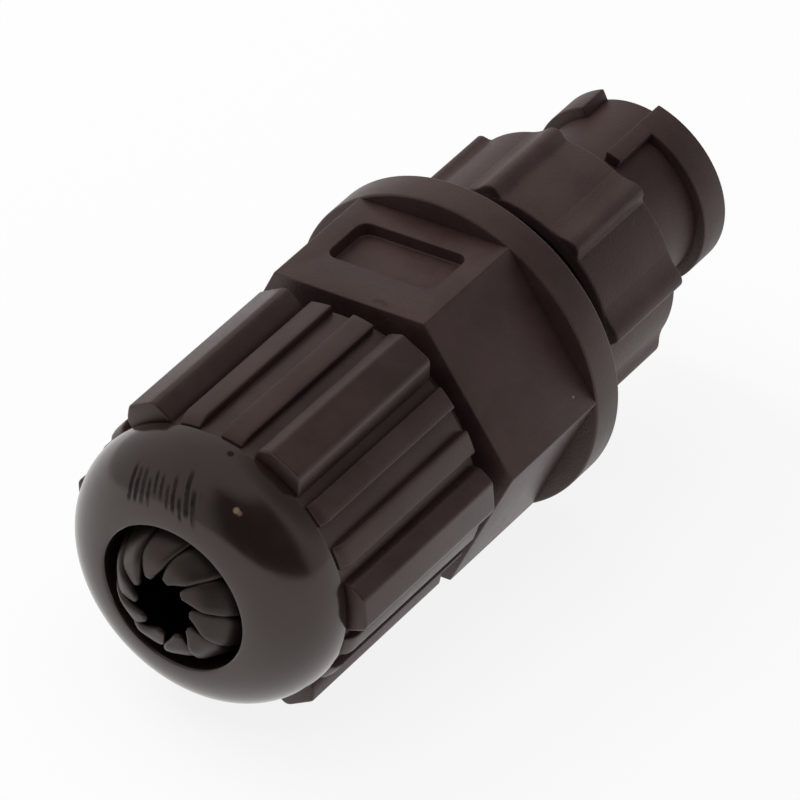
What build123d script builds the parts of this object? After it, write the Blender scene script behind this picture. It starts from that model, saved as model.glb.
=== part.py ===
from build123d import *
from math import cos, pi, radians, sin, sqrt
import os

# Circular panel connector with a cable gland, lying along +Y: cable end at -Y, mating end at +Y.
# The origin is on the axis, in the flange face that seats against the panel.
# Sizes are in millimetres. Angles round the axis run from straight up (+Z) towards +X.

# housing: hexagonal body with a round flange
flange_radius = 15.0
flange_thickness = 3.2
flange_bevel = 0.2
hex_radius = 14.98
hex_length = 12.0
housing_roll = -2.5
spigot_radius = 11.0
spigot_length = 12.0
spigot_lead = 0.8
cable_way_radius = 6.5
cable_way_length = 2.0
chamber_radius = 9.0
shell_socket_depth = 8.0
pocket_width = 10.3
pocket_length = 5.0
pocket_corner = 1.0
pocket_depth = 0.8
pocket_setback = 5.45

# gland nut: round dome and a six-cornered grip skirt
nut_gap = 1.5
skirt_length = 18.1
skirt_radius = 12.4
dome_radius = 12.6
dome_collar = 0.65
cable_hole_radius = 6.75
cable_hole_length = 1.9
hole_lip = 0.3
cone_mouth_radius = 9.7
cone_length = 6.2
nut_thread_length = 11.6
nut_thread_clearance = 0.1
corner_count = 6
band_radius = 14.3
band_shoulder_radius = 13.25
band_flat_angle = 5.2
band_half_angle = 10.0
band_edge_round = 0.5
band_front_bevel = 0.5
rib_radius = 13.1
rib_start_angle = 4.6
rib_end_angle = 14.0
rib_edge_round = 0.25

# clamping basket: a slotted ring whose fingers close on the cable
finger_count = 10
finger_roll = 8.0
finger_clearance = 0.45
finger_thickness = 1.2
finger_root_radius = 7.8
finger_root_width = 3.7
finger_mouth_width = 3.0
finger_tip_width = 2.0
finger_twist = 38.0
tip_radius = 3.3
tip_reach = 1.2
finger_tip_bevel = 0.35
basket_ring_thickness = 1.7
basket_ring_wall = 2.4
basket_wall = 1.1
basket_stem_length = 1.7
basket_clearance = 0.1

# sealing grommet and seal rings
grommet_radius = 8.0
grommet_length = 6.8
grommet_clearance = 0.05
cable_bore_radius = 2.2
cable_bore_lead = 0.5
gland_ring_width = 1.2
gland_ring_height = 1.2
seal_ring_bevel = 0.25
gland_ring_setback = 0.9
seal_ring_clearance = 0.05
gasket_radius = 13.2
gasket_thickness = 1.2
shell_ring_width = 1.2
shell_ring_height = 1.2
shell_ring_setback = 0.9

# bayonet shell: threaded neck, barrel and bayonet rim
neck_radius = 9.4
neck_clearance = 0.05
neck_front = 12.6
barrel_radius = 7.62
shell_front = 25.5
rim_radius = 8.66
rim_length = 3.2
stop_length = 4.7
stop_angle = 10.0
entry_angle = 37.7
entry_count = 2
shell_roll = -4.4
socket_radius = 6.45
insert_seat_depth = 5.0
ring_bore_radius = 7.25
key_width = 1.6
key_height = 0.7
key_setback = 3.0

# panel nut
panel_gap = 4.8
panel_nut_length = 9.8
panel_nut_wall = 1.3
panel_nut_bevel = 0.25
panel_rib_count = 8
panel_rib_height = 0.87
panel_rib_round = 0.6
panel_rib_foot = 0.4
panel_nut_roll = -4.0
panel_thread_clearance = 0.1
panel_nut_recess_width = 0.4
panel_nut_recess = 1.6

# insert and contacts
insert_clearance = 0.05
insert_front = 12.0
insert_flange_thickness = 1.6
retainer_thickness = 1.85
retaining_ring_bore = 5.9
interface_seal_bore = 5.35
interface_seal_thickness = 1.0
contact_circle = 4.2
contact_count = 6
pin_radius = 0.8
pin_tip_bevel = 0.4
pin_reach = 7.3
earth_pin_reach = 8.3
collar_radius = 1.2
collar_length = 3.0
crimp_radius = 1.05
crimp_reach = 4.2
wire_bore_radius = 0.65
wire_bore_depth = 3.0
contact_clearance = 0.05

# places along the axis and mating radii, worked out from the sizes above
flange_rear = -flange_thickness
hex_rear = flange_rear - hex_length
spigot_rear = hex_rear - spigot_length
nut_front = hex_rear - nut_gap
skirt_rear = nut_front - skirt_length
dome_round = dome_radius - cable_hole_radius
hole_rim = skirt_rear - dome_collar - dome_round
hole_end = hole_rim + cable_hole_length
cone_end = hole_end + cone_length
nut_thread_rear = nut_front - nut_thread_length
nut_thread_radius = spigot_radius + nut_thread_clearance
grommet_bore_radius = grommet_radius + grommet_clearance
basket_ring_front = spigot_rear - basket_clearance
basket_ring_rear = basket_ring_front - basket_ring_thickness
basket_stem_front = basket_ring_front + basket_stem_length
grommet_rear = basket_stem_front + grommet_clearance
grommet_front = grommet_rear + grommet_length
cable_way_front = grommet_front + cable_way_length
shell_rear = -shell_socket_depth
gland_ring_groove_radius = nut_thread_radius - seal_ring_clearance - gland_ring_height
gland_ring_front = nut_front - gland_ring_setback
gland_ring_rear = gland_ring_front - gland_ring_width
shell_ring_groove_radius = neck_radius - shell_ring_height
shell_ring_rear = shell_rear + shell_ring_setback
shell_ring_front = shell_ring_rear + shell_ring_width
rim_rear = shell_front - rim_length
stop_rear = rim_rear - stop_length
panel_nut_bore = neck_radius + panel_thread_clearance
panel_nut_radius = panel_nut_bore + panel_nut_wall
panel_rib_radius = panel_nut_radius + panel_rib_height
panel_nut_front = panel_gap + panel_nut_length
insert_seat = shell_rear + insert_seat_depth
insert_rear = insert_seat - insert_flange_thickness
retainer_rear = insert_rear - retainer_thickness
flat_distance = hex_radius * cos(pi / corner_count)

# the plane of the half sections: the radius runs up its first direction, the axis along its second
half_section = Plane(origin=(0, 0, 0), x_dir=(0, 0, 1), z_dir=(-1, 0, 0))


def across(y):
    # a plane across the axis whose first direction is up and whose second points to +X
    return Plane(origin=(0, y, 0), x_dir=(0, 0, 1), z_dir=(0, 1, 0))


def polar(radius, angle):
    # a point in such a plane
    return (radius * cos(radians(angle)), radius * sin(radians(angle)))


def turned(outline, mode=Mode.ADD):
    # a closed outline of (radius, place along the axis) points, turned round the axis
    with BuildSketch(half_section) as section:
        with BuildLine():
            Polyline(*outline, close=True)
        make_face()
    revolve(section.sketch, axis=Axis.Y, mode=mode)


def ring(inner, outer, rear, front, mode=Mode.ADD):
    # a plain ring, or a disc where the inner radius is zero
    turned([(inner, rear), (outer, rear), (outer, front), (inner, front)], mode)


def sector(inner, outer, start, end):
    # a stretch of a flat ring between two angles, in the sketch that is open
    with BuildLine() as outline:
        outside = CenterArc((0, 0), outer, start, end - start)
        inside = CenterArc((0, 0), inner, start, end - start)
        Line(outside @ 0, inside @ 0)
        Line(outside @ 1, inside @ 1)
    make_face(outline.edges())


def at_radius(shapes, radius):
    # the vertices of a sketch that lie at one distance from the axis
    return shapes.filter_by(lambda vertex: abs(Vector(vertex.X, vertex.Y, 0).length - radius) < 1e-3)


def save(piece, name):
    piece.part.label = name
    export_step(piece.part, f"parts/{name}.step")


os.makedirs("parts", exist_ok=True)

# housing: hexagonal body, round flange, and a threaded spigot that the gland nut screws on
with BuildPart() as housing:
    with BuildSketch(across(flange_rear)):
        Circle(flange_radius)
    extrude(amount=flange_thickness)
    chamfer(housing.edges().filter_by(GeomType.CIRCLE), flange_bevel)
    with BuildSketch(across(hex_rear)):
        RegularPolygon(hex_radius, corner_count, rotation=180 / corner_count + housing_roll)
    extrude(amount=hex_length)
    turned([(0, spigot_rear), (spigot_radius - spigot_lead, spigot_rear),
            (spigot_radius, spigot_rear + spigot_lead), (spigot_radius, hex_rear), (0, hex_rear)])
    # groove for the gland's seal ring
    ring(gland_ring_groove_radius, spigot_radius + spigot_lead,
         gland_ring_rear - seal_ring_clearance, gland_ring_front + seal_ring_clearance, Mode.SUBTRACT)
    # way through: grommet seat, cable way, wiring chamber and shell socket
    ring(0, grommet_bore_radius, spigot_rear, grommet_front, Mode.SUBTRACT)
    ring(0, cable_way_radius, grommet_front, cable_way_front, Mode.SUBTRACT)
    ring(0, chamber_radius, cable_way_front, -shell_socket_depth, Mode.SUBTRACT)
    ring(0, neck_radius + neck_clearance, -shell_socket_depth, 0, Mode.SUBTRACT)
    # bare pocket in the top flat
    flat_normal = Vector(sin(radians(housing_roll)), 0, cos(radians(housing_roll)))
    pocket_centre = flat_normal * flat_distance + Vector(0, flange_rear - pocket_setback, 0)
    with BuildSketch(Plane(origin=pocket_centre, x_dir=(0, 1, 0), z_dir=flat_normal)):
        RectangleRounded(pocket_length, pocket_width, pocket_corner)
    extrude(amount=-pocket_depth, mode=Mode.SUBTRACT)
save(housing, "housing")

# gland nut: dome with the cable hole, the cone inside that closes the basket, and the grip skirt
with BuildPart() as gland_nut:
    with BuildSketch(half_section) as dome_section:
        with BuildLine():
            dome = CenterArc((cable_hole_radius, hole_rim + dome_round), dome_round, -90, 90)
            Polyline(dome @ 1, (dome_radius, skirt_rear), (nut_thread_radius, skirt_rear),
                     (nut_thread_radius, nut_thread_rear), (cone_mouth_radius, nut_thread_rear),
                     (cone_mouth_radius, cone_end), (cable_hole_radius, hole_end), dome @ 0)
        make_face()
        chamfer(dome_section.vertices().sort_by(Axis.Y)[0], hole_lip)
    revolve(axis=Axis.Y)
    with BuildSketch(across(skirt_rear)) as grip:
        Circle(skirt_radius)
        for corner in range(corner_count):
            middle = (corner + 0.5) * 360 / corner_count
            root = skirt_radius - (band_shoulder_radius - skirt_radius)
            with BuildLine():
                Polyline(polar(root, middle - band_half_angle),
                         polar(band_shoulder_radius, middle - band_half_angle),
                         polar(band_radius, middle - band_flat_angle),
                         polar(band_radius, middle + band_flat_angle),
                         polar(band_shoulder_radius, middle + band_half_angle),
                         polar(root, middle + band_half_angle), close=True)
            make_face()
            face_middle = corner * 360 / corner_count
            sector(root, rib_radius, face_middle + rib_start_angle, face_middle + rib_end_angle)
            sector(root, rib_radius, face_middle - rib_end_angle, face_middle - rib_start_angle)
        fillet(at_radius(grip.vertices(), band_radius), band_edge_round)
        fillet(at_radius(grip.vertices(), rib_radius), rib_edge_round)
        Circle(nut_thread_radius, mode=Mode.SUBTRACT)
    extrude(amount=skirt_length)
    bevel_foot = band_radius - band_front_bevel
    turned([(bevel_foot, nut_front), (band_radius + band_front_bevel, nut_front),
            (band_radius + band_front_bevel, nut_front - 2 * band_front_bevel)], Mode.SUBTRACT)
save(gland_nut, "gland_nut")

# clamping basket: one finger follows the nut's cone, closes and twists; it is repeated round the ring
cone_slope = (cone_mouth_radius - cable_hole_radius) / cone_length
finger_standoff = (finger_clearance + finger_thickness / 2) * sqrt(1 + cone_slope ** 2)
hole_middle_radius = cable_hole_radius - finger_standoff
bend_place = hole_end + (finger_root_radius - hole_middle_radius) / cone_slope
tip_place = hole_rim - tip_reach
curl = (hole_middle_radius - tip_radius) / 4
finger_line = [
    (finger_root_radius, basket_ring_rear + basket_ring_thickness / 2, finger_root_width, 0.0),
    (finger_root_radius, (basket_ring_rear + bend_place) / 2, finger_root_width, 0.0),
    (finger_root_radius - finger_clearance, bend_place, finger_root_width, 0.0),
    ((finger_root_radius + hole_middle_radius) / 2 - finger_clearance / 2,
     (bend_place + hole_end) / 2, (finger_root_width + finger_mouth_width) / 2, 0.08),
    (hole_middle_radius, hole_end, finger_mouth_width, 0.25),
    (hole_middle_radius - curl, (hole_end + hole_rim) / 2, finger_mouth_width, 0.5),
    (hole_middle_radius - 2 * curl, hole_rim, finger_mouth_width, 0.78),
    (tip_radius, tip_place, finger_tip_width, 1.0),
]
with BuildPart() as finger:
    for index, (radius, y, width, share) in enumerate(finger_line):
        before = finger_line[max(index - 1, 0)]
        after = finger_line[min(index + 1, len(finger_line) - 1)]
        along = Vector(0, after[1] - before[1], after[0] - before[0]).normalized()
        sideways = Vector(1, 0, 0).rotate(Axis((0, 0, 0), along), share * finger_twist)
        with BuildSketch(Plane(origin=(0, y, radius), x_dir=sideways, z_dir=along)):
            Rectangle(width, finger_thickness)
    loft(ruled=True)
    chamfer(finger.faces().sort_by(Axis.Z)[0].edges(), finger_tip_bevel)

with BuildPart() as clamping_basket:
    stem_radius = grommet_bore_radius - basket_clearance
    ring(stem_radius - basket_wall, stem_radius - basket_wall + basket_ring_wall,
         basket_ring_rear, basket_ring_front)
    ring(stem_radius - basket_wall, stem_radius, basket_ring_front, basket_stem_front)
    for index in range(finger_count):
        add(finger.part.rotate(Axis.Y, finger_roll + index * 360 / finger_count))
save(clamping_basket, "clamping_basket")

# sealing grommet that the basket squeezes on the cable
with BuildPart() as sealing_grommet:
    turned([(cable_bore_radius + cable_bore_lead, grommet_rear), (grommet_radius, grommet_rear),
            (grommet_radius, grommet_front), (cable_bore_radius + cable_bore_lead, grommet_front),
            (cable_bore_radius, grommet_front - cable_bore_lead),
            (cable_bore_radius, grommet_rear + cable_bore_lead)])
save(sealing_grommet, "sealing_grommet")

# square-cut seal rings in their grooves, and the gasket behind the panel
with BuildPart() as gland_seal_ring:
    ring(gland_ring_groove_radius, gland_ring_groove_radius + gland_ring_height,
         gland_ring_rear, gland_ring_front)
    chamfer(gland_seal_ring.edges().filter_by(GeomType.CIRCLE).group_by(SortBy.RADIUS)[-1], seal_ring_bevel)
save(gland_seal_ring, "gland_seal_ring")

with BuildPart() as shell_seal_ring:
    ring(shell_ring_groove_radius, shell_ring_groove_radius + shell_ring_height,
         shell_ring_rear, shell_ring_front)
    chamfer(shell_seal_ring.edges().filter_by(GeomType.CIRCLE).group_by(SortBy.RADIUS)[-1], seal_ring_bevel)
save(shell_seal_ring, "shell_seal_ring")

with BuildPart() as panel_gasket:
    ring(neck_radius + panel_thread_clearance, gasket_radius, 0, gasket_thickness)
save(panel_gasket, "panel_gasket")

# bayonet shell: neck that passes the panel, barrel with the bayonet rim, socket for the insert
with BuildPart() as bayonet_shell:
    turned([(0, shell_rear), (neck_radius, shell_rear), (neck_radius, neck_front),
            (barrel_radius, neck_front), (barrel_radius, shell_front), (0, shell_front)])
    for entry in range(entry_count):
        start = shell_roll + entry_angle / 2 + entry * 360 / entry_count
        end = start + 360 / entry_count - entry_angle
        with BuildSketch(across(rim_rear)):
            sector(socket_radius, rim_radius, start, end)
        extrude(amount=rim_length)
        with BuildSketch(across(stop_rear)):
            sector(socket_radius, rim_radius, start, start + stop_angle)
        extrude(amount=stop_length)
    ring(shell_ring_groove_radius, rim_radius + neck_radius,
         shell_ring_rear - seal_ring_clearance, shell_ring_front + seal_ring_clearance, Mode.SUBTRACT)
    ring(0, socket_radius, insert_seat, shell_front, Mode.SUBTRACT)
    ring(0, ring_bore_radius, shell_rear, insert_seat, Mode.SUBTRACT)
    # polarising key in the socket
    with BuildSketch(across(insert_front + interface_seal_thickness)):
        with Locations(polar(socket_radius - key_height / 2, shell_roll)):
            Rectangle(key_height + key_width / 4, key_width, rotation=shell_roll)
    extrude(amount=shell_front - key_setback - insert_front - interface_seal_thickness)
save(bayonet_shell, "bayonet_shell")

# panel nut with eight rounded grip ribs
with BuildPart() as panel_nut:
    with BuildSketch(across(panel_gap)) as nut_grip:
        Circle(panel_nut_radius)
        with PolarLocations(panel_rib_radius - panel_rib_round, panel_rib_count,
                            start_angle=panel_nut_roll):
            Circle(panel_rib_round)
        fillet(at_radius(nut_grip.vertices(), panel_nut_radius), panel_rib_foot)
    extrude(amount=panel_nut_length)
    chamfer(panel_nut.faces().sort_by(Axis.Y)[-1].edges() + panel_nut.faces().sort_by(Axis.Y)[0].edges(),
            panel_nut_bevel)
    ring(0, panel_nut_bore, panel_gap, panel_nut_front, Mode.SUBTRACT)
    ring(0, panel_nut_bore + panel_nut_recess_width, panel_nut_front - panel_nut_recess, panel_nut_front, Mode.SUBTRACT)
save(panel_nut, "panel_nut")

# contact places: six on a circle and the earth contact in the middle
contact_places = [polar(contact_circle, shell_roll + index * 360 / contact_count)
                  for index in range(contact_count)]
all_places = contact_places + [(0, 0)]
collar_front = insert_rear + collar_length

with BuildPart() as contact_insert:
    ring(0, socket_radius - insert_clearance, insert_rear, insert_front)
    ring(0, ring_bore_radius - insert_clearance, insert_rear, insert_seat)
    with BuildSketch(across(insert_rear)):
        with Locations(*all_places):
            Circle(pin_radius + contact_clearance)
    extrude(amount=insert_front - insert_rear, mode=Mode.SUBTRACT)
    with BuildSketch(across(insert_rear)):
        with Locations(*all_places):
            Circle(collar_radius + contact_clearance)
    extrude(amount=collar_length, mode=Mode.SUBTRACT)
save(contact_insert, "contact_insert")

with BuildPart() as contact_retainer:
    ring(0, ring_bore_radius - insert_clearance, retainer_rear, insert_rear)
    with BuildSketch(across(retainer_rear)):
        with Locations(*all_places):
            Circle(crimp_radius + contact_clearance)
    extrude(amount=retainer_thickness, mode=Mode.SUBTRACT)
save(contact_retainer, "contact_retainer")

with BuildPart() as retaining_ring:
    ring(retaining_ring_bore, ring_bore_radius - insert_clearance, shell_rear, retainer_rear)
save(retaining_ring, "retaining_ring")

with BuildPart() as interface_seal:
    ring(interface_seal_bore, socket_radius - insert_clearance, insert_front,
         insert_front + interface_seal_thickness)
save(interface_seal, "interface_seal")


def build_contact(place, reach):
    # a turned contact: pin, collar that the insert holds, and crimp barrel for the wire
    with BuildPart() as contact:
        with BuildSketch(across(insert_rear - crimp_reach)):
            with Locations(place):
                Circle(crimp_radius)
        extrude(amount=crimp_reach)
        with BuildSketch(across(insert_rear)):
            with Locations(place):
                Circle(collar_radius)
        extrude(amount=collar_length)
        with BuildSketch(across(collar_front)):
            with Locations(place):
                Circle(pin_radius)
        extrude(amount=insert_front + reach - collar_front)
        chamfer(contact.faces().sort_by(Axis.Y)[-1].edges(), pin_tip_bevel)
        with BuildSketch(across(insert_rear - crimp_reach)):
            with Locations(place):
                Circle(wire_bore_radius)
        extrude(amount=wire_bore_depth, mode=Mode.SUBTRACT)
    return contact


for index, place in enumerate(contact_places):
    save(build_contact(place, pin_reach), f"contact_{index + 1}")
save(build_contact((0, 0), earth_pin_reach), "earth_contact")
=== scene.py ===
import bpy
import bmesh
import math
from mathutils import Matrix, Vector


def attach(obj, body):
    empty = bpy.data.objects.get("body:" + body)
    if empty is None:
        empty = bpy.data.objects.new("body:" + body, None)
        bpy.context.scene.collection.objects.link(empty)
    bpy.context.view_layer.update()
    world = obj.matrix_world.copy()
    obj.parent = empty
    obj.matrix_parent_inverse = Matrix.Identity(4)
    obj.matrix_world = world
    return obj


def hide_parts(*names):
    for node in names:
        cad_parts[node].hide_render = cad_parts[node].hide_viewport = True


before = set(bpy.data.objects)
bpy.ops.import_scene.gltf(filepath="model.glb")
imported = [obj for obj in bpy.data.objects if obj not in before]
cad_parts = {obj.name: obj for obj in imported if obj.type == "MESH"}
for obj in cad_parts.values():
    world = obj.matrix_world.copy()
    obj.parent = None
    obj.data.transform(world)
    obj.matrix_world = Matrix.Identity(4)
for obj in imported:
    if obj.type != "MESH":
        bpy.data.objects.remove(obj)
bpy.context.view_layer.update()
mm = 0.001
print("frame loaded,", len(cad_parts), "nodes")

# The connector lies along +Y: cable end at -Y, mating end at +Y. Sizes below are in millimetres
# and angles in degrees, from straight up towards +X, unless a note says otherwise.


class Socket:  # an output that takes sums and products as numbers do
    def __init__(self, nodes, link):
        self.nodes, self.link = nodes, link

    def math(self, kind, *others):
        values = {0: self} | {place + 1: other for place, other in enumerate(others)}
        return self.nodes.node("Math", {"operation": kind}, values)

    def __add__(self, other): return self.math("ADD", other)
    def __radd__(self, other): return self.math("ADD", other)
    def __sub__(self, other): return self.math("SUBTRACT", other)
    def __rsub__(self, other): return (self * -1).math("ADD", other)
    def __mul__(self, other): return self.math("MULTIPLY", other)
    def __rmul__(self, other): return self.math("MULTIPLY", other)
    def __truediv__(self, other): return self.math("DIVIDE", other)
    def __pow__(self, other): return self.math("POWER", other)
    def atLeast(self, other): return self.math("MAXIMUM", other)
    def atMost(self, other): return self.math("MINIMUM", other)

    def output(self, place):
        return Socket(self.nodes, self.link.node.outputs[place])


class Nodes:  # adds nodes to one tree, by their type without ShaderNode in front
    def __init__(self, tree):
        self.tree = tree

    def node(self, kind, settings=None, values=None, out=0):
        prefix = "" if kind.startswith(("Geometry", "Node", "Shader")) else "ShaderNode"
        made = self.tree.nodes.new(prefix + kind)
        for name, value in (settings or {}).items():
            setattr(made, name, value)
        for name, value in (values or {}).items():
            if isinstance(value, Socket):
                self.tree.links.new(value.link, made.inputs[name])
            else:
                made.inputs[name].default_value = value
        return Socket(self, made.outputs[out]) if len(made.outputs) else made


def rampBetween(nodes, value, low, high):
    return nodes.node("MapRange", {"clamp": True, "interpolation_type": "SMOOTHSTEP"},
                      {"Value": value, "From Min": low, "From Max": high})


def blended(nodes, factor, a, b):
    return nodes.node("Mix", {"data_type": "RGBA"}, {0: factor, 6: a, 7: b}, out=2)


def emptyMaterial(name):
    material = bpy.data.materials.new(name)
    material.use_nodes = True
    material.node_tree.nodes.clear()
    return material, Nodes(material.node_tree)


def inScene(name, data):
    made = bpy.data.objects.new(name, data)
    bpy.context.scene.collection.objects.link(made)
    return made


bodyMarks = [  # place, radius, colour: a faint scratch on the top flat and a speck of dust on the right one
    ((1.6, -14.42, 13.07), 0.32, (0.009, 0.007, 0.006)),
    ((2.1, -14.36, 13.05), 0.34, (0.010, 0.008, 0.007)),
    ((2.6, -14.48, 13.03), 0.28, (0.009, 0.007, 0.006)),
    ((14.01, -5.06, 2.15), 0.13, (0.22, 0.17, 0.16)),
]
plastics = {  # the two colours it wanders between, roughness, grains a millimetre, depth of the grain
    "housingPlastic": {"dark": (0.026, 0.0135, 0.0125), "light": (0.037, 0.0200, 0.0190), "rough": 0.42,
                       "grain": 5.5, "depth": 0.030, "marks": bodyMarks},
    "basketPlastic": {"dark": (0.011, 0.0080, 0.0063), "light": (0.018, 0.0128, 0.0105), "rough": 0.42,
                      "grain": 4.0, "depth": 0.012},
    "ringPlastic": {"dark": (0.033, 0.0190, 0.0180), "light": (0.046, 0.0275, 0.0260), "rough": 0.55,
                    "grain": 4.2, "depth": 0.060},
    "shellPlastic": {"dark": (0.026, 0.0140, 0.0130), "light": (0.037, 0.0200, 0.0190), "rough": 0.52,
                     "grain": 4.6, "depth": 0.040},
    "insertPlastic": {"dark": (0.018, 0.0130, 0.0120), "light": (0.026, 0.0190, 0.0180), "rough": 0.5,
                      "grain": 5.0, "depth": 0.02},
    "sealRubber": {"dark": (0.010, 0.010, 0.010), "light": (0.017, 0.017, 0.017), "rough": 0.72,
                   "grain": 6.0, "depth": 0.02},
}
patches = {"cloud": 0.16, "smear": 0.6, "low": 0.38, "high": 0.62}  # patches a millimetre, and the tones they span
warmGloss = (1.0, 0.80, 0.74, 1)  # the brown tint of every plastic's shine


def inMillimetres(nodes):
    return nodes.node("VectorMath", {"operation": "SCALE"}, {0: nodes.node("TexCoord", out="Object"), "Scale": 1 / mm})


def unevenness(nodes, place, fine):
    # fine grain, broad clouds, smears, and the tone that clouds and smears make together
    grain, cloud, smear = [
        nodes.node("TexNoise", {}, {"Vector": place, "Scale": scale, "Detail": detail, "Roughness": rough})
        for scale, detail, rough in ((fine, 3.0, 0.6), (patches["cloud"], 4.0, 0.55), (patches["smear"], 5.0, 0.65))]
    return grain, cloud, smear, rampBetween(nodes, cloud * 0.7 + smear * 0.3, patches["low"], patches["high"])


def nearPoint(nodes, place, point, radius):
    # one inside a small round mark, falling to nothing outside it
    away = nodes.node("VectorMath", {"operation": "DISTANCE"}, {0: place, 1: point}, out="Value")
    return 1 - rampBetween(nodes, away, radius * 0.6, radius * 1.3)


def plasticMaterial(name):
    look = plastics[name]
    material, nodes = emptyMaterial(name)
    place = inMillimetres(nodes)
    grain, cloud, smear, tone = unevenness(nodes, place, look["grain"])
    colour = blended(nodes, tone, (*look["dark"], 1), (*look["light"], 1))
    for point, radius, shade in look.get("marks", ()):
        colour = blended(nodes, nearPoint(nodes, place, point, radius) * (smear + 0.25), colour, (*shade, 1))
    rough = look["rough"] + (smear - 0.5) * 0.16 + (grain - 0.5) * 0.08
    bump = nodes.node("Bump", {}, {"Height": grain, "Distance": look["depth"] * mm, "Strength": 1.0})
    surface = nodes.node("BsdfPrincipled", {}, {
        "Base Color": colour, "Roughness": rough, "Normal": bump, "IOR": 1.5, "Specular Tint": warmGloss})
    nodes.node("OutputMaterial", {}, {"Surface": surface})
    return material


nutFinish = {  # matt on the grip, polished on the dome behind the edge
    "gripDark": (0.023, 0.0120, 0.0110), "gripLight": (0.033, 0.0180, 0.0168), "gripRough": 0.39,
    "domeDark": (0.0130, 0.0080, 0.0064), "domeLight": (0.0185, 0.0112, 0.0092), "domeRough": 0.17,
    "edge": -34.9, "grain": 5.0, "depth": 0.022, "waviness": 0.05, "coat": 0.28, "coatRough": 0.16,
    "strokeStep": 0.62, "strokeFrom": -4.5, "strokeTo": 2.9, "strokeMiddle": 9.6, "strokeHalf": 1.3,
    "strokeLean": 0.20, "strokeFan": 0.035, "strokeWander": 0.4, "strokeWidth": (0.13, 0.32), "strokeUneven": 1.1,
    "worn": (0.007, 0.006, 0.005), "markRough": 0.75, "markShare": 0.9,
    "spot": (2.83, -36.0, 12.25), "spotRadius": 0.3,
    # a painted glint: a small warm reflection with a short tail, painted into the dome's colour
    "paintedGlint": (5.54, -39.17, 9.80), "paintedGlintRadius": 0.27, "paintedGlintTail": (5.84, -39.19, 9.66),
    "paintedGlintColour": (0.20, 0.145, 0.095),
}


def slantedDarkStrokes(nodes, x, z, wander, look):
    # a row of short slanted dark strokes, each with its own length, width and height
    lean = x * look["strokeFan"] + look["strokeLean"]
    along = (x + (z - look["strokeMiddle"]) * lean + wander * look["strokeWander"]) / look["strokeStep"]
    cell = along.math("FLOOR")
    chance = nodes.node("TexWhiteNoise", {"noise_dimensions": "1D"}, {"W": cell})
    other = nodes.node("TexWhiteNoise", {"noise_dimensions": "1D"}, {"W": cell + 17.3})
    sideways = (along.math("FRACT") - 0.5).math("ABSOLUTE")
    line = 1 - rampBetween(nodes, sideways - chance * 0.14, *look["strokeWidth"])
    height = (z - look["strokeMiddle"] + (other - 0.5) * look["strokeUneven"]).math("ABSOLUTE")
    reach = 1 - rampBetween(nodes, height - chance * 0.8, look["strokeHalf"] - 0.9, look["strokeHalf"] - 0.3)
    inside = (rampBetween(nodes, x, look["strokeFrom"], look["strokeFrom"] + 0.4)
              * (1 - rampBetween(nodes, x, look["strokeTo"] - 0.8, look["strokeTo"])))
    return line * reach * inside * (wander * 2.2 + 0.85).atMost(1.0).atLeast(0.0)


def nutMaterial(name):
    look = nutFinish
    material, nodes = emptyMaterial(name)
    place = inMillimetres(nodes)
    x = nodes.node("SeparateXYZ", {}, {0: place})
    y, z = x.output(1), x.output(2)
    dome = 1 - rampBetween(nodes, y, look["edge"] - 0.06, look["edge"] + 0.06)
    grain, cloud, smear, tone = unevenness(nodes, place, look["grain"])
    grip = blended(nodes, tone, (*look["gripDark"], 1), (*look["gripLight"], 1))
    polish = blended(nodes, tone, (*look["domeDark"], 1), (*look["domeLight"], 1))
    # painted glint: a small warm reflection and its tail painted into the dome's colour
    paintedGlint = nearPoint(nodes, place, look["paintedGlint"], look["paintedGlintRadius"])
    glintTail = nearPoint(nodes, place, look["paintedGlintTail"], look["paintedGlintRadius"] * 0.8)
    colour = blended(nodes, paintedGlint.atLeast(glintTail * 0.6) * dome, blended(nodes, dome, grip, polish),
                     (*look["paintedGlintColour"], 1))
    matt = look["gripRough"] + (smear - 0.5) * 0.16 + (grain - 0.5) * 0.08
    bright = look["domeRough"] + (smear - 0.5) * 0.12 + (cloud - 0.5) * 0.06
    rough = matt * (1 - dome) + bright * dome
    low = nodes.node("Bump", {}, {"Height": cloud * dome, "Distance": look["waviness"] * mm, "Strength": 1.0})
    bump = nodes.node("Bump", {}, {"Height": grain * (1 - dome * 0.93), "Distance": look["depth"] * mm,
                                   "Strength": 1.0, "Normal": low})
    surface = nodes.node("BsdfPrincipled", {}, {
        "Base Color": colour, "Roughness": rough, "Normal": bump, "IOR": 1.52, "Specular Tint": warmGloss,
        "Coat Weight": dome * look["coat"], "Coat Roughness": look["coatRough"], "Coat IOR": 1.5})
    worn = nodes.node("BsdfPrincipled", {}, {
        "Base Color": (*look["worn"], 1), "Roughness": look["markRough"], "IOR": 1.2})
    # short slanted dark strokes and a small dark spot on the dome, mixed in as a darker, rougher surface
    darkStrokes = slantedDarkStrokes(nodes, x, z, smear - 0.5, look)
    spot = nearPoint(nodes, place, look["spot"], look["spotRadius"])
    shown = nodes.node("MixShader", {}, {0: darkStrokes.atLeast(spot) * dome * look["markShare"], 1: surface, 2: worn})
    nodes.node("OutputMaterial", {}, {"Surface": shown})
    return material


goldFinish = {"dark": (0.83, 0.60, 0.27), "light": (0.90, 0.71, 0.38), "rough": 0.2, "wander": 0.14, "depth": 0.006}


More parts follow.
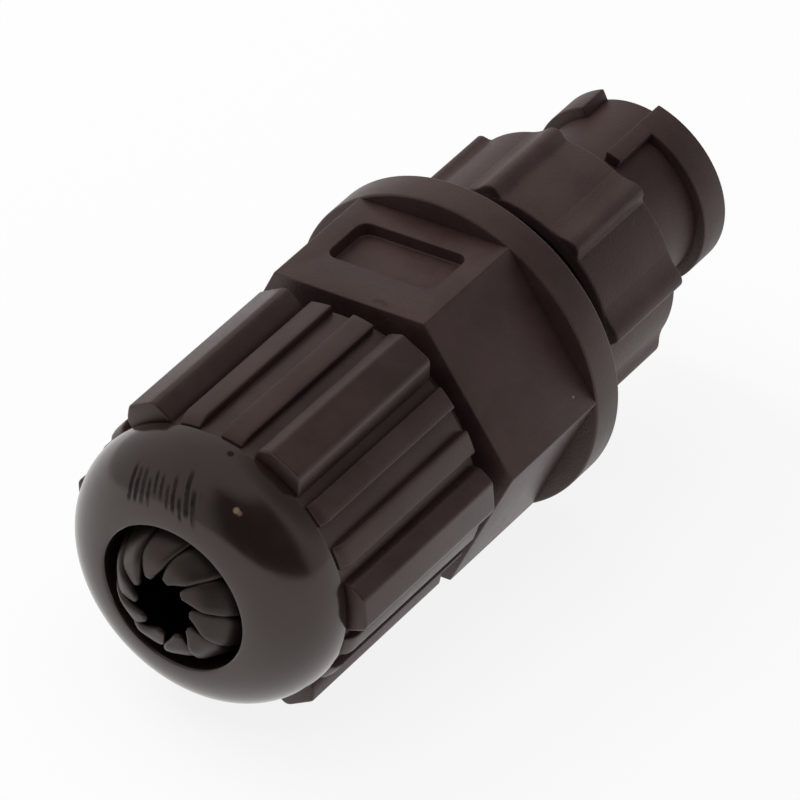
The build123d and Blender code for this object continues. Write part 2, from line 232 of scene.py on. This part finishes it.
def goldMaterial(name):
    # turning marks run round each pin, so their noise is squeezed along its axis
    look = goldFinish
    material, nodes = emptyMaterial(name)
    place = inMillimetres(nodes)
    squeezed = nodes.node("Mapping", {}, {"Vector": place, "Scale": (1, 14, 1)})
    lines = nodes.node("TexNoise", {}, {"Vector": squeezed, "Scale": 0.9, "Detail": 3.0})
    cloud = nodes.node("TexNoise", {}, {"Vector": place, "Scale": 0.4, "Detail": 3.0})
    colour = blended(nodes, rampBetween(nodes, cloud, 0.4, 0.65), (*look["dark"], 1), (*look["light"], 1))
    bump = nodes.node("Bump", {}, {"Height": lines, "Distance": look["depth"] * mm, "Strength": 1.0})
    surface = nodes.node("BsdfPrincipled", {}, {
        "Base Color": colour, "Metallic": 1.0, "Roughness": look["rough"] + lines * look["wander"], "Normal": bump})
    nodes.node("OutputMaterial", {}, {"Surface": surface})
    return material


materials = {name: plasticMaterial(name) for name in plastics}
materials["nutPlastic"] = nutMaterial("nutPlastic")
materials["contactGold"] = goldMaterial("contactGold")
print("materials made,", len(materials))


def pieceFrom(name, verts, faces):
    mesh = bpy.data.meshes.new(name)
    mesh.from_pydata([Vector(v) * mm for v in verts], [], faces)
    return inScene(name, mesh)


def discard(made):
    data = made.data
    bpy.data.objects.remove(made)
    bpy.data.meshes.remove(data)


def onAxis(radius, angle, y):
    # the angle is in radians
    return (radius * math.sin(angle), y, radius * math.cos(angle))


def softened(outline, bevel, steps=4):
    # rounds the sharp corners of a closed outline of (radius, y) points
    rounded = []
    count = len(outline)
    for place, corner in enumerate(outline):
        here = Vector(corner)
        before, after = Vector(outline[place - 1]) - here, Vector(outline[(place + 1) % count]) - here
        turn = math.pi - before.angle(after)
        reach = min(bevel * math.tan(turn / 2), before.length * 0.45, after.length * 0.45)
        if turn < 0.3 or corner[0] < 1e-6:
            rounded.append(tuple(here))
            continue
        start, end = here + before.normalized() * reach, here + after.normalized() * reach
        for step in range(steps + 1):
            share = step / steps
            rounded.append(tuple(start * (1 - share) ** 2 + here * 2 * share * (1 - share) + end * share ** 2))
    return rounded


def outwards(made):
    shape = bmesh.new()
    shape.from_mesh(made.data)
    bmesh.ops.remove_doubles(shape, verts=shape.verts, dist=1e-8)
    bmesh.ops.recalc_face_normals(shape, faces=shape.faces)
    shape.to_mesh(made.data)
    shape.free()
    return made


def turned(name, outline, bevel=0.15, around=192):
    # a closed outline turned round the axis; points with no radius close up in a pole
    outline = softened(outline, bevel) if bevel else outline
    verts, faces, rings = [], [], []
    for radius, y in outline:
        if radius < 1e-6:
            rings.append([len(verts)] * around)
            verts.append((0, y, 0))
        else:
            rings.append(list(range(len(verts), len(verts) + around)))
            verts += [onAxis(radius, 2 * math.pi * step / around, y) for step in range(around)]
    for place, ring in enumerate(rings):
        last = rings[place - 1]
        for step in range(around):
            corners = [last[step], last[(step + 1) % around], ring[(step + 1) % around], ring[step]]
            corners = list(dict.fromkeys(corners))
            if len(corners) > 2:
                faces.append(corners)
    return outwards(pieceFrom(name, verts, faces))


def softEdges(made, width, angle):
    edge = made.modifiers.new("softEdges", "BEVEL")
    edge.width, edge.segments, edge.limit_method, edge.angle_limit = width * mm, 3, "ANGLE", math.radians(angle)


def bar(name, section, rear, front, bevel=0.0, ramp=()):
    # a bar along the axis; its section is a list of (radius, degrees) points, and
    # the ramp a list of (y, greatest radius) that lowers it from its rear end on
    rings = (list(ramp) or [(rear, math.inf)]) + [(front, math.inf)]
    count, verts = len(section), []
    for y, top in rings:
        verts += [onAxis(min(radius, top), math.radians(angle), y) for radius, angle in section]
    last = (len(rings) - 1) * count
    faces = [list(range(count)), list(range(last + count - 1, last - 1, -1))]
    for ring in range(len(rings) - 1):
        at = ring * count
        faces += [[at + step, at + count + step, at + count + (step + 1) % count, at + (step + 1) % count]
                  for step in range(count)]
    made = outwards(pieceFrom(name, verts, faces))
    if bevel:
        softEdges(made, bevel, 24)
    return made


def settled(made):
    # turns what the modifiers make into a plain mesh
    bpy.context.view_layer.update()
    graph = bpy.context.evaluated_depsgraph_get()
    mesh = bpy.data.meshes.new_from_object(made.evaluated_get(graph))
    made.modifiers.clear()
    old, made.data = made.data, mesh
    bpy.data.meshes.remove(old)
    mesh.name = made.name
    return made


def joined(name, pieces):
    shape = bmesh.new()
    for piece in pieces:
        shape.from_mesh(piece.data)
    mesh = bpy.data.meshes.new(name)
    shape.to_mesh(mesh)
    shape.free()
    for piece in pieces:
        discard(piece)
    return inScene(name, mesh)


def dressed(made, node, body, material, angle=34):
    made.data.materials.clear()
    made.data.materials.append(materials[material])
    for face in made.data.polygons:
        face.material_index = 0
    made.data.shade_smooth()
    made.data.set_sharp_from_angle(angle=math.radians(angle))
    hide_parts(node)
    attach(made, body)
    return made


def roundAxisTree():
    # copies of one bar or finger round the axis
    tree = bpy.data.node_groups.new("copiesRoundAxis", "GeometryNodeTree")
    sockets = tree.interface
    sockets.new_socket("Geometry", in_out="INPUT", socket_type="NodeSocketGeometry")
    for name, kind in (("Copies", "NodeSocketInt"), ("Roll", "NodeSocketFloat"), ("Material", "NodeSocketMaterial")):
        sockets.new_socket(name, in_out="INPUT", socket_type=kind)
    sockets.new_socket("Geometry", in_out="OUTPUT", socket_type="NodeSocketGeometry")
    nodes = Nodes(tree)
    given = tree.nodes.new("NodeGroupInput")
    shape, copies, roll, finish = [Socket(nodes, given.outputs[place]) for place in range(4)]
    turn = roll + nodes.node("GeometryNodeInputIndex") * (2 * math.pi) / copies
    points = nodes.node("GeometryNodePoints", {}, {"Count": copies})
    placed = nodes.node("GeometryNodeInstanceOnPoints", {}, {
        "Points": points, "Instance": shape, "Rotation": nodes.node("ShaderNodeCombineXYZ", {}, {1: turn})})
    real = nodes.node("GeometryNodeRealizeInstances", {}, {"Geometry": placed})
    done = nodes.node("GeometryNodeSetMaterial", {}, {"Geometry": real, "Material": finish})
    nodes.node("NodeGroupOutput", {}, {0: done})
    return tree


copiesTree = roundAxisTree()


def copiedRound(made, copies, roll, material):
    modifier = made.modifiers.new("copies", "NODES")
    modifier.node_group = copiesTree
    names = {item.name: item.identifier for item in copiesTree.interface.items_tree if item.in_out == "INPUT"}
    modifier[names["Copies"]] = copies
    modifier[names["Roll"]] = math.radians(roll)
    modifier[names["Material"]] = materials[material]
    return settled(made)


glandNut = {
    "rim": -41.3, "lip": 0.3, "holeRadius": 6.75, "holeFront": -39.4, "domeRadius": 12.6, "domeRound": 5.85,
    "skirtRear": -34.8, "skirtFront": -16.7, "skirtRadius": 12.4, "barRoot": 0.6,
    "threadBore": 11.1, "shoulder": -28.3, "basketBore": 9.7, "coneFront": -33.2,
    "corners": 6, "bandRoll": 30, "bandFeet": (-10.6, 12.4), "bandBevel": 0.24,
    "ribRadius": 13.1, "ribFrom": 4.6, "ribTo": 14.0, "ribBevel": 0.16,
    "ribRamp": ((0.0, 12.6), (0.5, 12.95), (1.1, 13.1)),  # how far from the rear end, greatest radius
}
bandArch = [  # radius and degrees: flat on top, a flat flank on one side and a rounder one on the other
    (12.3, -10.5), (12.9, -10.2), (13.3, -9.8), (13.656, -8.26), (14.038, -6.45), (14.3, -5.3), (14.274, -4.0),
    (14.239, 0.0), (14.274, 4.0), (14.295, 5.4), (14.27, 6.6), (14.1, 7.6), (13.8, 8.5), (13.4, 9.5),
    (12.95, 10.8), (12.3, 12.2),
]


def nutOutline():
    # from the cable hole over the rounded rim and the dome to the skirt, and back through the bores
    nut = glandNut
    hole, rim, lip, rear, front = nut["holeRadius"], nut["rim"], nut["lip"], nut["skirtRear"], nut["skirtFront"]
    outline = [(hole, nut["holeFront"]), (hole, rim + lip)]
    outline += [(hole + lip * (1 - math.cos(turn)), rim + lip * (1 - math.sin(turn))) for turn in (0.4, 0.8, 1.2)]
    for angle in range(3, 91, 3):
        outline.append((hole + nut["domeRound"] * math.sin(math.radians(angle)),
                        rim + nut["domeRound"] - nut["domeRound"] * math.cos(math.radians(angle))))
    outline += [(nut["domeRadius"], rear - 0.25), (nut["skirtRadius"] - 0.05, rear - 0.2),
                (nut["skirtRadius"], rear + 0.1), (nut["skirtRadius"], front), (nut["threadBore"], front),
                (nut["threadBore"], nut["shoulder"]), (nut["basketBore"], nut["shoulder"]),
                (nut["basketBore"], nut["coneFront"])]
    return outline


def makeGlandNut():
    nut = glandNut
    body = turned("glandNutBody", nutOutline(), bevel=0.12, around=256)
    root, rear, front = nut["skirtRadius"] - nut["barRoot"], nut["skirtRear"], nut["skirtFront"] - 0.05
    section = [(root, nut["bandFeet"][0])] + bandArch + [(root, nut["bandFeet"][1])]
    band = bar("glandNutBand", section, rear, front, bevel=nut["bandBevel"])
    pieces = [body, copiedRound(band, nut["corners"], nut["bandRoll"], "nutPlastic")]
    ramp = [(rear + along, radius) for along, radius in nut["ribRamp"]]
    for side in (-1, 1):
        angles = [side * (nut["ribFrom"] + (nut["ribTo"] - nut["ribFrom"]) * step / 4) for step in range(5)]
        section = [(root, angles[0])] + [(nut["ribRadius"], angle) for angle in angles] + [(root, angles[-1])]
        rib = bar("glandNutRib", section, rear, front, bevel=nut["ribBevel"], ramp=ramp)
        pieces.append(copiedRound(rib, nut["corners"], 0, "nutPlastic"))
    return dressed(joined("glandNutShell", pieces), "gland_nut", "gland_nut", "nutPlastic")


makeGlandNut()
print("gland nut made")


basket = {"fingers": 10, "roll": 8.0, "twist": 6.0, "rows": 40, "around": 28, "point": 0.2, "bore": 6.85,
          "ring": 9.25, "ringRear": -29.0, "ringFront": -27.3, "stem": 7.95, "stemFront": -25.6}
fingerLine = [  # radius, y, width, thickness, share of the twist, sweep round the axis
    (7.8, -28.15, 3.7, 1.2, 0.0, 0), (7.8, -31.0, 3.7, 1.2, 0.0, 0), (7.45, -34.8, 3.6, 1.2, 0.0, 0),
    (6.6, -37.2, 3.6, 1.2, 0.08, -1), (6.0, -38.9, 3.4, 1.15, 0.25, -4), (5.5, -40.2, 3.2, 1.1, 0.5, -8),
    (4.95, -41.2, 2.95, 1.0, 0.78, -14), (4.1, -42.0, 2.4, 0.85, 0.95, -22), (2.75, -42.4, 0.8, 0.5, 1.0, -34),
]


def smoothLine(points, share):
    # a smooth curve through the listed rows
    place = share * (len(points) - 1)
    first = min(int(place), len(points) - 2)
    step = place - first
    rows = [points[max(0, min(len(points) - 1, first + shift))] for shift in (-1, 0, 1, 2)]
    weights = (-0.5 * step + step ** 2 - 0.5 * step ** 3, 1 - 2.5 * step ** 2 + 1.5 * step ** 3,
               0.5 * step + 2 * step ** 2 - 1.5 * step ** 3, -0.5 * step ** 2 + 0.5 * step ** 3)
    return [sum(weight * row[column] for weight, row in zip(weights, rows)) for column in range(len(points[0]))]


def fingerPlace(share):
    line = smoothLine(fingerLine, max(0, min(1, share)))
    return Vector(onAxis(line[0], math.radians(line[5]), line[1]))


def rounder(value, power):
    # draws a circle's sine or cosine out towards a rounded box
    return math.copysign(abs(value) ** power, value)


def makeBasket():
    part = basket
    rows, around = part["rows"], part["around"]
    verts, faces = [], []
    for row in range(rows + 1):
        width, thick, share, sweep = smoothLine(fingerLine, row / rows)[2:]
        middle = fingerPlace(row / rows)
        along = (fingerPlace(row / rows + 0.01) - fingerPlace(row / rows - 0.01)).normalized()
        turn = Matrix.Rotation(math.radians(part["twist"] * share), 3, along)
        level = Vector((math.cos(math.radians(sweep)), 0, -math.sin(math.radians(sweep))))
        sideways = turn @ (level - along * level.dot(along)).normalized()
        up = along.cross(sideways)
        for step in range(around):
            angle = 2 * math.pi * step / around
            across = rounder(math.cos(angle), 0.55) * width / 2
            high = rounder(math.sin(angle), 0.75) * thick / 2
            verts.append(middle + sideways * across + up * high)
    for row in range(rows):
        for step in range(around):
            a, b = row * around + step, row * around + (step + 1) % around
            faces.append([a, b, b + around, a + around])
    faces.append(list(range(around)))
    tip = rows * around
    verts.append(middle + along * part["point"])
    faces += [[tip + step, tip + (step + 1) % around, len(verts) - 1] for step in range(around)]
    finger = outwards(pieceFrom("basketFinger", verts, faces))
    fingers = copiedRound(finger, part["fingers"], part["roll"], "basketPlastic")
    ring = turned("basketRing", [(part["bore"], part["ringRear"]), (part["ring"], part["ringRear"]),
                                 (part["ring"], part["ringFront"]), (part["stem"], part["ringFront"]),
                                 (part["stem"], part["stemFront"]), (part["bore"], part["stemFront"])])
    made = joined("clampingBasket", [ring, fingers])
    return dressed(made, "clamping_basket", "clamping_basket", "basketPlastic", 50)


makeBasket()
print("clamping basket made")


thread = {"pitch": 1.5, "around": 120, "perTurn": 14, "flat": 1.25, "flank": 3.4, "runOut": 0.9, "play": 0.02}
housing = {
    "flange": 15.0, "flangeRear": -3.2, "flangeBevel": 0.22, "hexRear": -15.2, "hexRadius": 14.98, "hexBevel": 0.13,
    "roll": -2.5, "spigot": 11.0, "spigotRear": -27.2, "spigotBore": 8.05, "threadDepth": 0.5, "socket": 9.45,
    "pocket": (5.35, 10.6), "pocketCorner": 1.0, "pocketDepth": 1.2, "pocketY": -8.4,
}
housingLining = [  # radius and y of the inner walls: shell socket, wiring chamber, cable way and grommet seat
    (8.05, -27.19), (8.6, -27.18), (8.6, -18.7), (9.5, -14.9), (9.5, -0.02), (9.45, -0.01), (9.45, -8), (9.0, -8),
    (9.0, -16.75), (6.5, -16.75), (6.5, -18.75), (8.05, -18.75),
]


def threaded(name, crest, depth, rear, front, bore):
    # a sleeve whose outside carries a thread that runs out at both ends
    around, pitch = thread["around"], thread["pitch"]
    rows = int((front - rear) / pitch * thread["perTurn"])
    verts, faces = [], []
    for row in range(rows + 1):
        y = rear + (front - rear) * row / rows
        fade = max(0, min(1, (y - rear) / thread["runOut"], (front - y) / thread["runOut"]))
        for step in range(around):
            phase = (y / pitch - step / around) % 1
            groove = min(1, max(0, thread["flat"] - abs(phase - 0.5) * thread["flank"]))
            verts.append(onAxis(crest - thread["play"] - depth * groove * fade, 2 * math.pi * step / around, y))
    for y in (front, rear):
        verts += [onAxis(bore, 2 * math.pi * step / around, y) for step in range(around)]
    for row in range(rows + 2):
        for step in range(around):
            a, b = row * around + step, row * around + (step + 1) % around
            faces.append([a, b, b + around, a + around])
    last = (rows + 2) * around
    faces += [[last + step, last + (step + 1) % around, (step + 1) % around, step] for step in range(around)]
    return outwards(pieceFrom(name, verts, faces))


def pocketCutter():
    # a rounded block that stands in the top flat
    part = housing
    length, width = part["pocket"]
    corner, flat = part["pocketCorner"], part["hexRadius"] * math.cos(math.radians(30))
    outline = []
    for index, (sx, sy) in enumerate(((1, 1), (-1, 1), (-1, -1), (1, -1))):
        for step in range(7):
            angle = math.radians(90 * index + 15 * step)
            outline.append((sx * (width / 2 - corner) + corner * math.cos(angle),
                            sy * (length / 2 - corner) + corner * math.sin(angle)))
    roll = math.radians(part["roll"])
    right, up = Vector((math.cos(roll), 0, -math.sin(roll))), Vector((math.sin(roll), 0, math.cos(roll)))
    verts = [up * height + right * x + Vector((0, part["pocketY"] + y, 0))
             for height in (flat - part["pocketDepth"], flat + 1) for x, y in outline]
    count = len(outline)
    faces = [list(range(count)), list(range(count, 2 * count))]
    faces += [[step, (step + 1) % count, count + (step + 1) % count, count + step] for step in range(count)]
    return outwards(pieceFrom("pocketCutter", verts, faces))


def makeHousing():
    part = housing
    corners = [(part["hexRadius"], 30 + 60 * corner + part["roll"]) for corner in range(6)]
    body = bar("housingBody", corners, part["hexRear"], part["flangeRear"] + 0.3)
    cutter = pocketCutter()
    cut = body.modifiers.new("pocket", "BOOLEAN")
    cut.object, cut.operation, cut.solver = cutter, "DIFFERENCE", "EXACT"
    softEdges(body, part["hexBevel"], 40)
    settled(body)
    discard(cutter)
    flange = turned("housingFlange", [(part["socket"], part["flangeRear"]), (part["flange"], part["flangeRear"]),
                                      (part["flange"], 0), (part["socket"], 0)], part["flangeBevel"], 256)
    sleeve = threaded("housingSpigot", part["spigot"], part["threadDepth"], part["spigotRear"],
                      part["hexRear"] + 0.2, part["spigotBore"])
    lining = turned("housingLining", housingLining, bevel=0)
    made = joined("housingShell", [body, flange, sleeve, lining])
    return dressed(made, "housing", "housing", "housingPlastic")


makeHousing()
print("housing made")


panelNut = {"rear": 4.8, "front": 14.6, "bore": 9.5, "radius": 10.8, "recess": 9.9, "recessDepth": 1.6, "bevel": 0.3,
            "ribs": 8, "roll": -4.0, "ribRoot": 0.5, "ribBevel": 0.22}
nutRib = [  # how far across and how high: a long hollow flank on one side and a short one on the other
    (-2.6, -0.02), (-2.1, 0.03), (-1.6, 0.13), (-1.15, 0.31), (-0.75, 0.55), (-0.4, 0.75), (-0.05, 0.855),
    (0.25, 0.87), (0.5, 0.80), (0.7, 0.62), (0.85, 0.38), (1.0, 0.16), (1.2, 0.03), (1.4, -0.02),
]


def makePanelNut():
    nut = panelNut
    bore, radius, recess, front = nut["bore"], nut["radius"], nut["recess"], nut["front"]
    floor = front - nut["recessDepth"]
    body = turned("panelNutBody", [(bore, nut["rear"]), (radius, nut["rear"]), (radius, front), (recess, front),
                                   (recess, floor), (bore, floor)], nut["bevel"], 256)
    section = [(radius + high, math.degrees(across / radius)) for across, high in nutRib]
    root = radius - nut["ribRoot"]
    section = [(root, section[0][1])] + section + [(root, section[-1][1])]
    rib = bar("panelNutRib", section, nut["rear"] + 0.05, front - 0.05, bevel=nut["ribBevel"])
    ribs = copiedRound(rib, nut["ribs"], nut["roll"], "ringPlastic")
    made = joined("panelNutRing", [body, ribs])
    return dressed(made, "panel_nut", "panel_nut", "ringPlastic")


makePanelNut()
print("panel nut made")


shell = {
    "rear": -8.0, "neck": 9.4, "neckCore": 8.2, "neckBore": 7.9, "neckRear": -5.8, "neckFront": 12.6,
    "threadDepth": 0.4, "barrel": 7.62, "front": 25.5, "bore": 6.45, "rearBore": 7.25, "seat": -3.0,
    "collarBore": 8.0, "collarFront": -5.7, "groove": (-7.15, -5.85),  # the groove holds the seal ring
    "rim": 8.66, "rimRear": 22.3, "rimRoot": 7.3, "rimBevel": 0.14, "gap": 37.7, "stop": 10.0, "stopRear": 17.6,
    "roll": -4.4, "keyHalf": 7, "keyRadius": (5.75, 6.6), "keyEnds": (13.0, 22.5),
}


def arcSection(inner, outer, start, end):
    steps = max(2, int((end - start) / 3))
    angles = [start + (end - start) * step / steps for step in range(steps + 1)]
    return [(inner, angle) for angle in reversed(angles)] + [(outer, angle) for angle in angles]


def makeShell():
    part = shell
    neck, core, rear, front = part["neck"], part["neckCore"], part["rear"], part["front"]
    body = turned("shellBody", [(part["rearBore"], rear), (core, rear), (core, part["neckFront"] - 1),
                                (part["barrel"], part["neckFront"] - 0.5), (part["barrel"], front),
                                (part["bore"], front), (part["bore"], part["seat"]), (part["rearBore"], part["seat"])],
                  bevel=0.1)
    sleeve = threaded("shellNeck", neck, part["threadDepth"], part["neckRear"], part["neckFront"], part["neckBore"])
    (grooveRear, grooveFront), bore, collarFront = part["groove"], part["collarBore"], part["collarFront"]
    collar = turned("shellCollar", [(bore, rear), (neck, rear), (neck, grooveRear), (core, grooveRear),
                                    (core, grooveFront), (neck, grooveFront), (neck, collarFront), (bore, collarFront)],
                    bevel=0)
    # two halves of the bayonet's rim, each with a stop behind its first end
    first, root, rim, bevel = part["roll"] + part["gap"] / 2, part["rimRoot"], part["rim"], part["rimBevel"]
    half = bar("shellRim", arcSection(root, rim, first, first + 180 - part["gap"]),
               part["rimRear"], front - 0.02, bevel)
    stop = bar("shellStop", arcSection(root, rim, first, first + part["stop"]),
               part["stopRear"], part["rimRear"] + 0.4, bevel)
    halves, stops = copiedRound(half, 2, 0, "shellPlastic"), copiedRound(stop, 2, 0, "shellPlastic")
    keySection = arcSection(*part["keyRadius"], part["roll"] - part["keyHalf"], part["roll"] + part["keyHalf"])
    key = bar("shellKey", keySection, *part["keyEnds"], bevel=0.1)
    made = joined("bayonetShell", [body, sleeve, collar, halves, stops, key])
    return dressed(made, "bayonet_shell", "housing", "shellPlastic")


makeShell()
print("bayonet shell made")


contacts = {"circle": 4.2, "count": 6, "roll": -4.4, "pin": 0.8, "tip": 19.3, "earthTip": 20.3, "collar": 1.2,
            "collarFront": -1.6, "insertRear": -4.6, "barrel": 1.05, "rear": -8.8, "wireBore": 0.65, "boreDepth": 3,
            "tipShape": ((0.5, 0.8), (0.2, 0.62), (0.05, 0.4))}  # how far behind the tip, radius


def makeContact(node, radius, angle, tip):
    part = contacts
    rear, wire, barrel, collar, pin = part["rear"], part["wireBore"], part["barrel"], part["collar"], part["pin"]
    outline = [(0, rear + part["boreDepth"]), (wire, rear + part["boreDepth"]), (wire, rear), (barrel, rear),
               (barrel, part["insertRear"]), (collar, part["insertRear"]), (collar, part["collarFront"]),
               (pin, part["collarFront"])]
    outline += [(wide, tip - behind) for behind, wide in part["tipShape"]] + [(0, tip)]
    made = turned(node + "Pin", outline, bevel=0.05, around=40)
    made.data.transform(Matrix.Translation(Vector(onAxis(radius, math.radians(angle), 0)) * mm))
    return dressed(made, node, "housing", "contactGold")


for index in range(contacts["count"]):
    makeContact(f"contact_{index + 1}", contacts["circle"], contacts["roll"] + 60 * index, contacts["tip"])
makeContact("earth_contact", 0, 0, contacts["earthTip"])

turnedNodes = {  # each node's outline as radius and y, and its finish
    "contact_insert": ([(0, -4.6), (7.2, -4.6), (7.2, -3.0), (6.4, -3.0), (6.4, 12.0), (0, 12.0)], "insertPlastic"),
    "contact_retainer": ([(0, -6.45), (7.2, -6.45), (7.2, -4.6), (0, -4.6)], "insertPlastic"),
    "retaining_ring": ([(5.9, -8.0), (7.2, -8.0), (7.2, -6.45), (5.9, -6.45)], "basketPlastic"),
    "interface_seal": ([(5.35, 12.0), (6.4, 12.0), (6.4, 13.0), (5.35, 13.0)], "sealRubber"),
    "sealing_grommet": ([(2.7, -25.55), (8.0, -25.55), (8.0, -18.75), (2.7, -18.75), (2.2, -19.25), (2.2, -25.05)],
                        "sealRubber"),
    "gland_seal_ring": ([(9.85, -18.8), (11.05, -18.8), (11.05, -17.6), (9.85, -17.6)], "sealRubber"),
    "shell_seal_ring": ([(8.2, -7.1), (9.4, -7.1), (9.4, -5.9), (8.2, -5.9)], "sealRubber"),
    "panel_gasket": ([(9.5, 0), (13.2, 0), (13.2, 1.2), (9.5, 1.2)], "sealRubber"),
}
for node, (outline, finish) in turnedNodes.items():
    first, *others = node.split("_")
    name = first + "".join(word.capitalize() for word in others) + "Piece"
    dressed(turned(name, outline, bevel=0.12, around=160), node, "housing", finish)
print("contacts, insert and seals made")


stage = {"flange": (-3.1, -15.0), "skirt": (-34.8, -13.06), "play": 0.005, "size": 3.0,  # its size is in metres
         "colour": (0.86, 0.86, 0.855), "glow": 0.985, "glowShare": 0.55, "glowShareSeen": 0.88}


def brightRays(nodes):
    # the rays that find the surroundings white: straight, mirrored and passed through
    straight, mirrored, passed = [nodes.node("LightPath", out=name) for name in
                                  ("Is Camera Ray", "Is Glossy Ray", "Is Transmission Ray")]
    return straight.atLeast(mirrored).atLeast(passed)


def makeStage():
    # the floor touches the flange's lowest point and the skirt's rear end
    (frontY, frontZ), (rearY, rearZ) = stage["flange"], stage["skirt"]
    slope = math.atan2(frontZ - rearZ, frontY - rearY)
    half = stage["size"] / 2
    turn = Matrix.Translation(Vector((0, frontY, frontZ - stage["play"])) * mm) @ Matrix.Rotation(slope, 4, "X")
    corners = [turn @ Vector((x, y, 0)) for x, y in ((-half, -half), (half, -half), (half, half), (-half, half))]
    mesh = bpy.data.meshes.new("floor")
    mesh.from_pydata(corners, [], [(0, 1, 2, 3)])
    floor = inScene("floor", mesh)
    material, nodes = emptyMaterial("paleFloor")
    matt = nodes.node("BsdfDiffuse", {}, {"Color": (*stage["colour"], 1)})
    glow = nodes.node("Emission", {}, {"Color": (stage["glow"],) * 3 + (1,), "Strength": 1.0})
    share = brightRays(nodes) * (stage["glowShareSeen"] - stage["glowShare"]) + stage["glowShare"]
    nodes.node("OutputMaterial", {}, {"Surface": nodes.node("MixShader", {}, {0: share, 1: matt, 2: glow})})
    mesh.materials.append(material)


makeStage()


lamps = {  # place, aim and size in metres, power in watts
    "softTop": {"place": (0.00, 0.00, 0.50), "aim": (0, -0.01, 0), "size": (0.5, 0.5), "power": 1.0},
    "softLeft": {"place": (-0.42, 0.05, 0.32), "aim": (0, -0.01, 0), "size": (0.3, 0.4), "power": 2.0},
    "softRight": {"place": (0.50, 0.00, 0.10), "aim": (0, -0.02, 0), "size": (0.30, 0.20), "power": 0.2},
}
for name, look in lamps.items():
    data = bpy.data.lights.new(name, "AREA")
    data.shape, data.energy = "RECTANGLE", look["power"]
    data.size, data.size_y = look["size"]
    lamp = inScene(name, data)
    lamp.location = Vector(look["place"])
    lamp.rotation_mode = "QUATERNION"
    lamp.rotation_quaternion = (Vector(look["aim"]) - Vector(look["place"])).to_track_quat("-Z", "Y")
    lamp.visible_glossy = False  # or they would show as hot spots on the dome


# pale walls all round and a pale ceiling, with a dark opening in front on the right and a weaker one
# higher up at the back; "from" and "to" are cosines of the angle to its middle
room = {"wall": 0.57, "dark": 0.06,
        "towards": (0.68, -0.73, 0.0), "from": 0.56, "to": 0.80, "top": 0.80, "above": 0.95,
        "corner": (0.42, 0.66, 0.62), "cornerFrom": 0.75, "cornerTo": 0.96, "cornerShare": 0.7}


def makeRoom():
    world = bpy.data.worlds.new("studio")
    bpy.context.scene.world = world
    world.use_nodes = True
    world.node_tree.nodes.clear()
    nodes = Nodes(world.node_tree)
    ray = nodes.node("TexCoord", out="Generated")
    height = nodes.node("SeparateXYZ", {}, {0: ray}, out=2)
    facing, corner = [nodes.node("VectorMath", {"operation": "DOT_PRODUCT"}, {0: ray, 1: room[name]}, out="Value")
                      for name in ("towards", "corner")]
    level = (1 - height * height).atLeast(0.001) ** 0.5
    opening = (rampBetween(nodes, facing / level, room["from"], room["to"])
               * (1 - rampBetween(nodes, height, room["top"], room["above"])))
    weaker = rampBetween(nodes, corner, room["cornerFrom"], room["cornerTo"]) * room["cornerShare"]
    walls = blended(nodes, opening.atLeast(weaker), (room["wall"],) * 3 + (1,), (room["dark"],) * 3 + (1,))
    nodes.node("OutputWorld", {}, {"Surface": nodes.node("Background", {}, {"Color": walls, "Strength": 1.0})})


makeRoom()


view = {"place": (314.4, -421.7, 396.1), "right": (0.8158, 0.5764, -0.0482), "down": (0.3201, -0.5192, -0.7925),
        "forward": (-0.4818, 0.6311, -0.6080), "focal": 7959.0, "frame": 800.0, "sensor": 36.0, "clip": (0.05, 20.0)}
cameraData = bpy.data.cameras.new("photoView")
camera = inScene("photoView", cameraData)
cameraData.sensor_width = view["sensor"]
cameraData.lens = view["focal"] / view["frame"] * view["sensor"]
cameraData.clip_start, cameraData.clip_end = view["clip"]
axes = Matrix((view["right"], -Vector(view["down"]), -Vector(view["forward"]))).transposed().to_4x4()
camera.matrix_world = Matrix.Translation(Vector(view["place"]) * mm) @ axes
bpy.context.scene.camera = camera
bpy.context.scene.view_settings.view_transform = "Standard"

print("stage, light and camera set")
